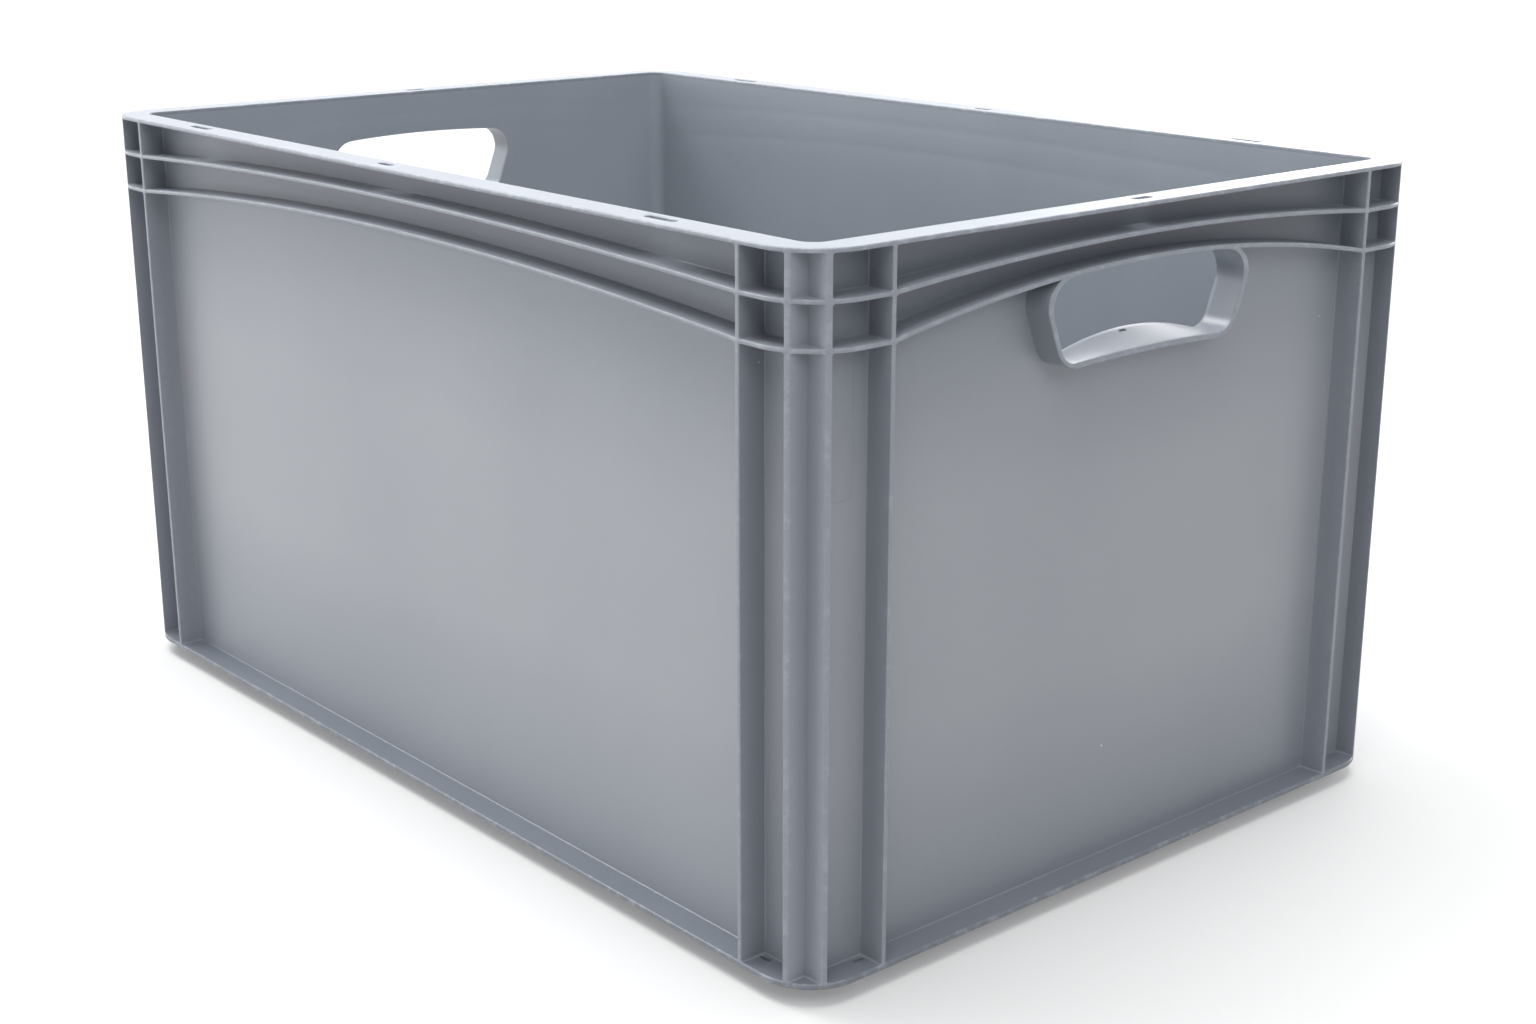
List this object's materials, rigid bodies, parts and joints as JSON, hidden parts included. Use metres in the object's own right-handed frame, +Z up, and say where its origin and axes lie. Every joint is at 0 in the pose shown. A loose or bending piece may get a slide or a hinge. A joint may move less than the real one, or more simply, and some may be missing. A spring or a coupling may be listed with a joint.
{
  "type": "stacking plastic crate",
  "caption": "Open-topped rectangular stacking crate with smooth walls, arched stiffening rings, ribbed corners, a flat rim and a hand hole in each short side.",
  "frame": {"origin": "centre of the underside of the stacking foot, on the surface that the crate stands on", "axes": "+X along the 600 mm length, +Y along the 400 mm width, +Z up; the short sides with the hand holes are at +X and -X"},
  "size_m": [0.6, 0.4, 0.32],
  "materials": {
    "grey_polypropylene": "blue-grey injection-moulded polypropylene, satin, with a fine moulded grain and faint flow marks"
  },
  "bodies": {
    "root": {"floor_panel": "grey_polypropylene", "front_foot_rail": "grey_polypropylene", "front_base_flange": "grey_polypropylene", "front_wall": "grey_polypropylene", "front_rim": "grey_polypropylene", "front_upper_ring": "grey_polypropylene", "front_lower_ring": "grey_polypropylene", "front_right_corner_upper_ring": "grey_polypropylene", "front_right_corner_lower_ring": "grey_polypropylene", "front_outer_rib_left": "grey_polypropylene", "front_corner_rib_left": "grey_polypropylene", "front_outer_rib_right": "grey_polypropylene", "front_corner_rib_right": "grey_polypropylene", "right_foot_rail": "grey_polypropylene", "right_base_flange": "grey_polypropylene", "right_wall": "grey_polypropylene", "right_rim": "grey_polypropylene", "right_upper_ring": "grey_polypropylene", "right_lower_ring": "grey_polypropylene", "right_back_corner_upper_ring": "grey_polypropylene", "right_back_corner_lower_ring": "grey_polypropylene", "right_outer_rib_left": "grey_polypropylene", "right_corner_rib_left": "grey_polypropylene", "right_outer_rib_right": "grey_polypropylene", "right_corner_rib_right": "grey_polypropylene", "right_grip_collar": "grey_polypropylene", "back_foot_rail": "grey_polypropylene", "back_base_flange": "grey_polypropylene", "back_wall": "grey_polypropylene", "back_rim": "grey_polypropylene", "back_upper_ring": "grey_polypropylene", "back_lower_ring": "grey_polypropylene", "back_left_corner_upper_ring": "grey_polypropylene", "back_left_corner_lower_ring": "grey_polypropylene", "back_outer_rib_left": "grey_polypropylene", "back_corner_rib_left": "grey_polypropylene", "back_outer_rib_right": "grey_polypropylene", "back_corner_rib_right": "grey_polypropylene", "left_foot_rail": "grey_polypropylene", "left_base_flange": "grey_polypropylene", "left_wall": "grey_polypropylene", "left_rim": "grey_polypropylene", "left_upper_ring": "grey_polypropylene", "left_lower_ring": "grey_polypropylene", "left_front_corner_upper_ring": "grey_polypropylene", "left_front_corner_lower_ring": "grey_polypropylene", "left_outer_rib_left": "grey_polypropylene", "left_corner_rib_left": "grey_polypropylene", "left_outer_rib_right": "grey_polypropylene", "left_corner_rib_right": "grey_polypropylene", "left_grip_collar": "grey_polypropylene"}
  },
  "joints": []
}
